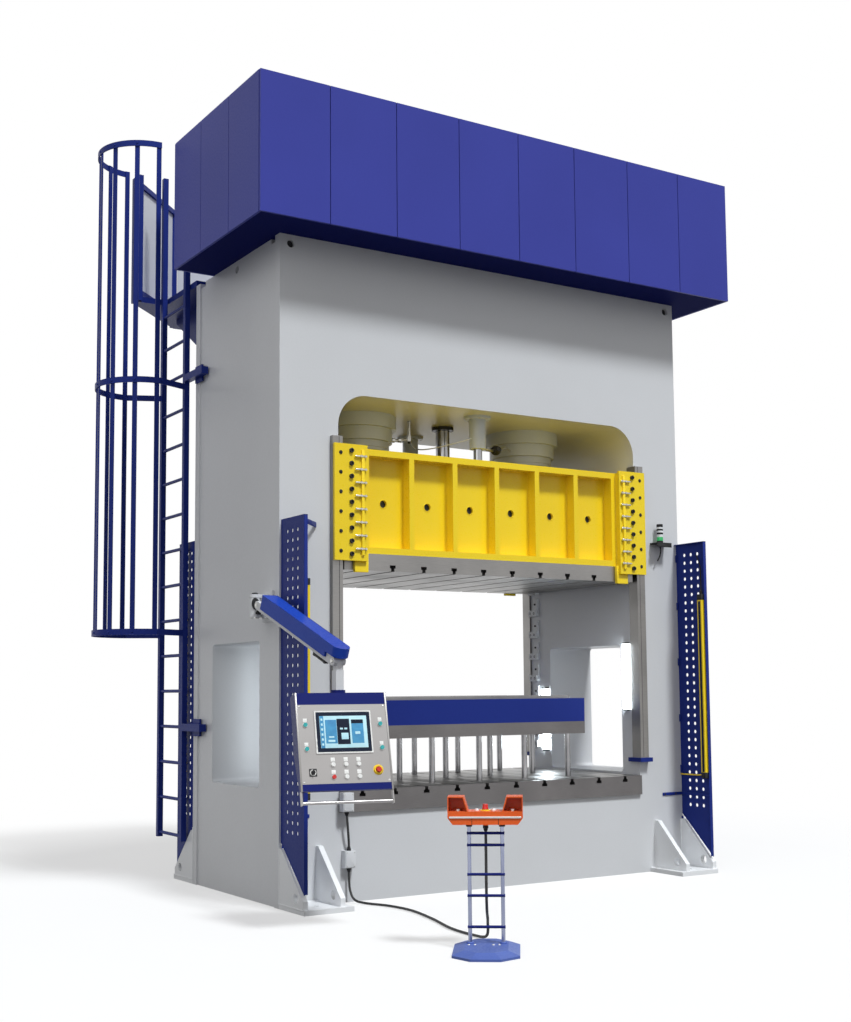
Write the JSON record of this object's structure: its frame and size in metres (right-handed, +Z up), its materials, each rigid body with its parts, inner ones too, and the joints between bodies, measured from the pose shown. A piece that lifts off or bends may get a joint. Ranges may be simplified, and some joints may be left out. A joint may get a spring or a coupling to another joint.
{
  "type": "h-frame deep drawing press",
  "caption": "Welded H-frame hydraulic deep drawing press with ribbed slide, die cushion, machine house, caged ladder, swinging control console and two-hand stand.",
  "frame": {"origin": "on the floor under the middle of the frame", "axes": "+Z up, the working front faces -Y, +X to the right seen from the front"},
  "size_m": [4.9773, 5.5182, 6.2],
  "materials": {
    "frame_paint": "semi-gloss light grey paint",
    "steel": "ground steel",
    "chrome": "hard chrome",
    "house_blue": "satin violet-blue powder coat",
    "trim_blue": "ultramarine powder coat",
    "slide_yellow": "gloss yellow paint",
    "black_metal": "black oxide",
    "black_plastic": "matte black",
    "lamp_white": "opal lens",
    "cord_rubber": "black cord",
    "stand_orange": "orange enamel",
    "lamp_teal": "blue-green lens",
    "button_white": "white cap",
    "button_red": "red cap",
    "palm_metal": "bare metal cap"
  },
  "bodies": {
    "frame": {"left_upright": "frame_paint", "right_upright": "frame_paint", "crown": "frame_paint", "bed": "frame_paint", "anchor_feet": "frame_paint", "bolster": "steel", "guide_rails": "steel", "rail_keepers": "frame_paint", "rail_stops": "trim_blue", "main_cylinders": "frame_paint", "return_cylinders": "frame_paint", "ram_glands": "black_metal", "head_frame": "house_blue", "head_panels": "house_blue", "power_unit": "frame_paint", "ladder": "trim_blue", "ladder_cage": "trim_blue", "platform_deck": "trim_blue", "platform_panels": "frame_paint", "side_guards": "trim_blue", "light_curtains": "slide_yellow", "signal_tower": "black_plastic", "work_lights": "lamp_white", "cable_boxes": "frame_paint", "cord_upper": "cord_rubber", "cord_stand": "cord_rubber", "stand_base": "trim_blue", "stand_frame": "chrome", "stand_console": "stand_orange", "arm_bracket": "frame_paint", "cushion_cylinders": "black_metal"},
    "slide": {"slide_box": "slide_yellow", "slide_plate": "steel", "guide_blocks": "slide_yellow", "slide_rods": "chrome"},
    "cushion": {"cushion_table": "steel", "cushion_pins": "chrome", "holder_plate": "steel", "blank_holder": "trim_blue", "draw_plate": "steel"},
    "arm_shoulder": {"arm_base": "frame_paint"},
    "arm": {"arm_beam": "frame_paint", "arm_cover": "trim_blue"},
    "knuckle": {"console_knuckle": "frame_paint"},
    "console": {"console_housing": "trim_blue", "console_face": "steel", "console_screen": "black_plastic", "pilot_lamps": "lamp_teal"},
    "selector_switch": {"selector_switch": "black_plastic"},
    "console_stop": {"console_stop": "button_red"},
    "mode_button_1": {"mode_button_1": "button_white"},
    "mode_button_2": {"mode_button_2": "button_white"},
    "mode_button_3": {"mode_button_3": "button_white"},
    "mode_button_4": {"mode_button_4": "button_red"},
    "mode_button_5": {"mode_button_5": "button_white"},
    "mode_button_6": {"mode_button_6": "button_white"},
    "palm_button_left": {"palm_button_left": "palm_metal"},
    "palm_button_right": {"palm_button_right": "palm_metal"},
    "stand_stop": {"stand_stop": "button_red"}
  },
  "joints": [
    {"name": "slide_stroke", "type": "slide", "parent": "frame", "child": "slide", "axis": [0, 0, 1], "range_m": [-0.94, 0]},
    {"name": "cushion_stroke", "type": "slide", "parent": "frame", "child": "cushion", "axis": [0, 0, 1], "range_m": [-0.2, 0]},
    {"name": "arm_swivel", "type": "hinge", "parent": "frame", "child": "arm_shoulder", "pos_m": [-2.074, -0.626, 2.19], "axis": [0, 0, 1], "range_deg": [-85, 0]},
    {"name": "arm_tilt", "type": "hinge", "parent": "arm_shoulder", "child": "arm", "pos_m": [-2.06863, -0.73587, 2.19], "axis": [0.9988, 0.0489, 0], "range_deg": [-26, 12]},
    {"name": "arm_level", "type": "hinge", "parent": "arm", "child": "knuckle", "pos_m": [-2.01645, -1.80271, 1.75845], "axis": [0.9988, 0.0489, 0], "range_deg": [-12, 26]},
    {"name": "console_swivel", "type": "hinge", "parent": "knuckle", "child": "console", "pos_m": [-2.01645, -1.80271, 1.75845], "axis": [0, 0, 1], "range_deg": [-45, 45]},
    {"name": "selector_turn", "type": "hinge", "parent": "console", "child": "selector_switch", "pos_m": [-2.2771, -1.9468, 1.03604], "axis": [-0.2008, -0.9448, 0.2588], "range_deg": [-45, 45]},
    {"name": "console_stop_press", "type": "slide", "parent": "console", "child": "console_stop", "axis": [0.2008, 0.9448, -0.2588], "range_m": [0, 0.006], "stiffness_N_per_m": 2500},
    {"name": "mode_press_1", "type": "slide", "parent": "console", "child": "mode_button_1", "axis": [0.2008, 0.9448, -0.2588], "range_m": [0, 0.005], "stiffness_N_per_m": 1500},
    {"name": "mode_press_2", "type": "slide", "parent": "console", "child": "mode_button_2", "axis": [0.2008, 0.9448, -0.2588], "range_m": [0, 0.005], "stiffness_N_per_m": 1500},
    {"name": "mode_press_3", "type": "slide", "parent": "console", "child": "mode_button_3", "axis": [0.2008, 0.9448, -0.2588], "range_m": [0, 0.005], "stiffness_N_per_m": 1500},
    {"name": "mode_press_4", "type": "slide", "parent": "console", "child": "mode_button_4", "axis": [0.2008, 0.9448, -0.2588], "range_m": [0, 0.005], "stiffness_N_per_m": 1500},
    {"name": "mode_press_5", "type": "slide", "parent": "console", "child": "mode_button_5", "axis": [0.2008, 0.9448, -0.2588], "range_m": [0, 0.005], "stiffness_N_per_m": 1500},
    {"name": "mode_press_6", "type": "slide", "parent": "console", "child": "mode_button_6", "axis": [0.2008, 0.9448, -0.2588], "range_m": [0, 0.005], "stiffness_N_per_m": 1500},
    {"name": "palm_press_left", "type": "slide", "parent": "frame", "child": "palm_button_left", "axis": [0, 0, -1], "range_m": [0, 0.006], "stiffness_N_per_m": 2500},
    {"name": "palm_press_right", "type": "slide", "parent": "frame", "child": "palm_button_right", "axis": [0, 0, -1], "range_m": [0, 0.006], "stiffness_N_per_m": 2500},
    {"name": "stand_stop_press", "type": "slide", "parent": "frame", "child": "stand_stop", "axis": [0, 0, -1], "range_m": [0, 0.006], "stiffness_N_per_m": 2500}
  ],
  "couplings": [
    {"joint": "arm_level", "follows": "arm_tilt", "ratio": -1}
  ]
}
